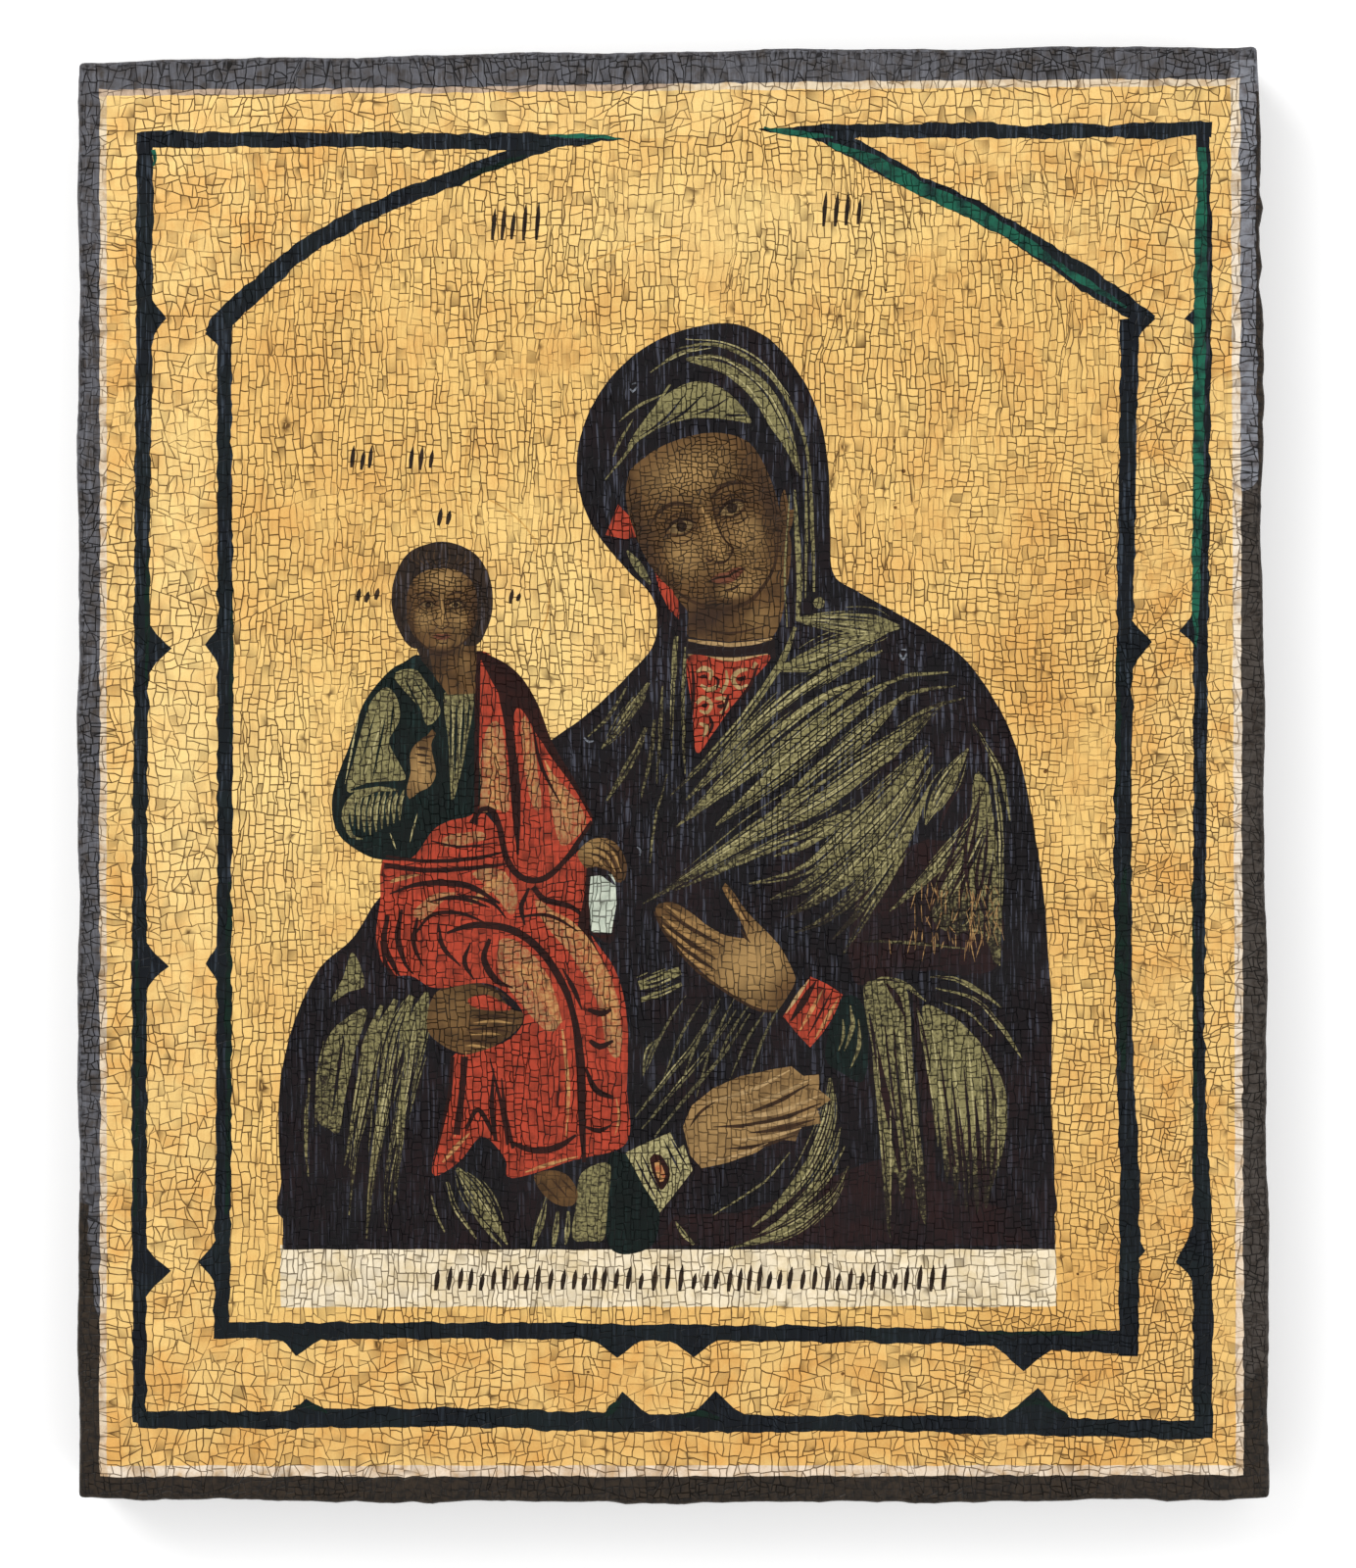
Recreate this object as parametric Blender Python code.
"""Icon panel: one hand-squared wooden board, lying on its back with the painted face up.

Metres, +Z up. The head of the picture points to +Y and the origin is the middle of the flat back.
The ground, gilding and paint are coats on the board, so the whole panel is one solid.
"""

import math

import bmesh
import bpy
from mathutils import Vector
from mathutils.geometry import delaunay_2d_cdt

# The sides, from the foot round by the right.
SIDES = ("foot", "right", "head", "left")

# The board was squared by hand: no two of its sides are quite equal or parallel.
HEAD_WIDTH = 0.2526
FOOT_WIDTH = 0.2553
LEFT_HEIGHT = 0.3077
RIGHT_HEIGHT = 0.3111
EDGE_THICKNESS = 0.0215

# The painted face is slightly fuller in the middle than at its edges.
FACE_CROWN = 0.0008
CROWN_STEP = 0.0180

# The crown follows the growth rings across the board, and falls away quickly at head and foot.
CROWN_POWER_ACROSS = 2
CROWN_POWER_ALONG = 6

# How far the middle of each side stands out from the line between its corners.
BOWS = {"foot": 0.0008, "right": 0.0003, "head": 0.0007, "left": 0.0002}

# Long shallow waves left by the axe and the plane, each with finer ones over it. The pattern
# drifts along the side through the board's thickness, and starts elsewhere on each side.
WAVE_HEIGHT = 0.00022
WAVE_LENGTH = 0.0620
WAVE_DRIFT = 0.0110
FINE_WAVE_HEIGHT = 0.00013
FINE_WAVE_LENGTH = 0.0270
WAVE_STARTS = {"foot": 0.0040, "right": 0.0170, "head": 0.0310, "left": 0.0450}

# Lumps of old varnish and size that ran over the edge: high near the head of the right side,
# lower along the foot.
CRUST_RISE = 0.0011
CRUST_START = 0.0090
CRUST_LENGTH = 0.0830
CRUST_SPACING = 0.0105
FINE_CRUST_SPACING = 0.0061
FOOT_CRUST_RISE = 0.0005
CRUST_DEPTH = 0.0090

# Worn corners and arrises.
CORNER_RADIUS = 0.0013
LEAST_CORNER_RADIUS = 0.0003
CORNER_FADE = 0.0100
FRONT_ARRIS = 0.0010
BACK_ARRIS = 0.0006

# How finely the sides and the worn corners are drawn.
EDGE_STEP = 0.0042
CORNER_STEPS = 3
SIDE_STEPS = 3

# The look of the panel from a step away: dull gold over brown.
PAINT_COLOUR = (0.62, 0.38, 0.12, 1.0)
PAINT_ROUGHNESS = 0.45


def smooth(value):
    """Ease from 0 to 1."""
    value = min(max(value, 0.0), 1.0)
    return value * value * (3.0 - 2.0 * value)


def ripple(place, length):
    """A sine of a given wavelength."""
    return math.sin(2.0 * math.pi * place / length)


def wave(side, along, height):
    """The planed side's waviness."""
    place = along + WAVE_STARTS[side] + WAVE_DRIFT * height / EDGE_THICKNESS
    long_wave = WAVE_HEIGHT * ripple(place, WAVE_LENGTH)
    return long_wave + FINE_WAVE_HEIGHT * ripple(place, FINE_WAVE_LENGTH)


def lumps(along, height, rise):
    """Rounded lumps of crust, thickest at the front arris and gone a little way down the side."""
    large = 0.6 * ripple(along, CRUST_SPACING)
    small = 0.4 * ripple(along, FINE_CRUST_SPACING)
    fade = smooth(1.0 - (EDGE_THICKNESS - height) / CRUST_DEPTH)
    return rise * 0.5 * (1.0 + large + small) * fade


def crust(side, along, length, height):
    """The crust on a side: along the foot, and near the head of the right side."""
    if side == "foot":
        return lumps(along, height, FOOT_CRUST_RISE)
    if side == "right":
        from_head = length - along
        begun = smooth((from_head - CRUST_START) / CRUST_SPACING)
        over = smooth((CRUST_START + CRUST_LENGTH - from_head) / CRUST_SPACING)
        return lumps(along, height, CRUST_RISE) * begun * over
    return 0.0


def stand_out(side, along, length, height):
    """How far a side stands out from the line between its corners."""
    bow = 4.0 * BOWS[side] * (along / length) * (1.0 - along / length)
    near_ends = smooth(along / CORNER_FADE) * smooth((length - along) / CORNER_FADE)
    return bow + near_ends * (wave(side, along, height) + crust(side, along, length, height))


def board_corners():
    """The corner at the start of each side, from the lower left one round by the right."""
    return [
        Vector((0.0, 0.0)),
        Vector((FOOT_WIDTH, 0.0)),
        Vector((HEAD_WIDTH, RIGHT_HEIGHT)),
        Vector((0.0, LEFT_HEIGHT)),
    ]


def outward(start, end):
    """The unit vector that points out of a side."""
    run = (end - start).normalized()
    return Vector((run.y, -run.x))


def inset_corners(inset):
    """The corners moved in by the same distance from both of their sides."""
    corners = board_corners()
    count = len(corners)
    moved = []
    for index, corner in enumerate(corners):
        before = outward(corners[index - 1], corner)
        after = outward(corner, corners[(index + 1) % count])
        moved.append(corner - (before + after) * (inset / (1.0 + before.dot(after))))
    return moved


def corner_arc(start, corner, end):
    """Points that round a corner off between two sides."""
    points = []
    for step in range(1, CORNER_STEPS + 1):
        share = step / (CORNER_STEPS + 1)
        towards = start.lerp(corner, share)
        away = corner.lerp(end, share)
        points.append(towards.lerp(away, share))
    return points


def outline(inset, height):
    """One closed ring of points round the board, at a height and a distance in from its sides."""
    nominal = board_corners()
    corners = inset_corners(inset)
    count = len(corners)
    radius = max(CORNER_RADIUS - inset, LEAST_CORNER_RADIUS)
    ring = []
    for index, side in enumerate(SIDES):
        start = corners[index]
        end = corners[(index + 1) % count]
        beyond = corners[(index + 2) % count]
        run = (end - start).normalized()
        length = (end - start).length
        steps = round((nominal[(index + 1) % count] - nominal[index]).length / EDGE_STEP)
        for step in range(steps + 1):
            along = radius + (length - 2.0 * radius) * step / steps
            out = stand_out(side, along, length, height)
            ring.append(start + run * along + outward(start, end) * out)
        next_run = (beyond - end).normalized()
        ring.extend(corner_arc(end - run * radius, end, end + next_run * radius))
    return ring


def ring_levels():
    """Heights and insets of the rings, from the back's arris up to the face's edge."""
    levels = [(0.0, BACK_ARRIS)]
    side_foot = BACK_ARRIS
    side_head = EDGE_THICKNESS - FRONT_ARRIS
    for step in range(SIDE_STEPS + 1):
        levels.append((side_foot + (side_head - side_foot) * step / SIDE_STEPS, 0.0))
    quarter = math.sin(math.pi / 4.0)
    levels.append((side_head + FRONT_ARRIS * quarter, FRONT_ARRIS * (1.0 - quarter)))
    levels.append((EDGE_THICKNESS, FRONT_ARRIS))
    return levels


def crown(point, half_width, half_height):
    """How far the face stands above its edge at a point."""
    across = abs(point.x) / half_width
    along = abs(point.y) / half_height
    across_share = max(1.0 - across**CROWN_POWER_ACROSS, 0.0)
    along_share = max(1.0 - along**CROWN_POWER_ALONG, 0.0)
    return FACE_CROWN * across_share * along_share


def crown_points(half_width, half_height):
    """A coarse grid of points inside the face, which carries its crown."""
    columns = round(2.0 * half_width / CROWN_STEP)
    rows = round(2.0 * half_height / CROWN_STEP)
    points = []
    for row in range(1, rows):
        for column in range(1, columns):
            x = half_width * (2.0 * column / columns - 1.0)
            y = half_height * (2.0 * row / rows - 1.0)
            points.append(Vector((x, y)))
    return points


def fill_face(mesh, edge_ring, half_width, half_height):
    """Close the front with triangles between its edge and the crown's points."""
    edge_points = [Vector((vertex.co.x, vertex.co.y)) for vertex in edge_ring]
    inner = crown_points(half_width, half_height)
    count = len(edge_points)
    edges = [(index, (index + 1) % count) for index in range(count)]
    places, _, triangles, sources, _, _ = delaunay_2d_cdt(edge_points + inner, edges, [], 1, 1e-7)
    corners = []
    for place, source in zip(places, sources):
        if source and source[0] < count:
            corners.append(edge_ring[source[0]])
        else:
            height = EDGE_THICKNESS + crown(place, half_width, half_height)
            corners.append(mesh.verts.new((place.x, place.y, height)))
    for triangle in triangles:
        mesh.faces.new([corners[index] for index in triangle])


def board_mesh():
    """The whole board, closed: back, back arris, sides, front arris and crowned face."""
    mesh = bmesh.new()
    levels = ring_levels()
    outlines = [outline(inset, height) for height, inset in levels]
    every = [point for ring in outlines for point in ring]
    low = Vector((min(p.x for p in every), min(p.y for p in every)))
    high = Vector((max(p.x for p in every), max(p.y for p in every)))
    middle = (low + high) / 2.0
    rings = []
    for (height, _), points in zip(levels, outlines):
        placed = [point - middle for point in points]
        rings.append([mesh.verts.new((point.x, point.y, height)) for point in placed])
    count = len(rings[0])
    for lower, upper in zip(rings, rings[1:]):
        for index in range(count):
            after = (index + 1) % count
            mesh.faces.new((lower[index], lower[after], upper[after], upper[index]))
    mesh.faces.new(list(reversed(rings[0])))
    half = (high - low) / 2.0
    fill_face(mesh, rings[-1], half.x - FRONT_ARRIS, half.y - FRONT_ARRIS)
    bmesh.ops.recalc_face_normals(mesh, faces=mesh.faces)
    return mesh


def painted_board():
    """The paint's colour as seen from a step away."""
    material = bpy.data.materials.new("painted_board")
    material.use_nodes = True
    shader = material.node_tree.nodes["Principled BSDF"]
    shader.inputs["Base Color"].default_value = PAINT_COLOUR
    shader.inputs["Roughness"].default_value = PAINT_ROUGHNESS
    shader.inputs["Metallic"].default_value = 0.0
    return material


def build():
    """Make the panel's one piece."""
    for old in list(bpy.data.objects):
        bpy.data.objects.remove(old, do_unlink=True)
    data = bpy.data.meshes.new("icon_panel")
    mesh = board_mesh()
    mesh.to_mesh(data)
    mesh.free()
    data.materials.append(painted_board())
    panel = bpy.data.objects.new("icon_panel", data)
    bpy.context.scene.collection.objects.link(panel)


build()
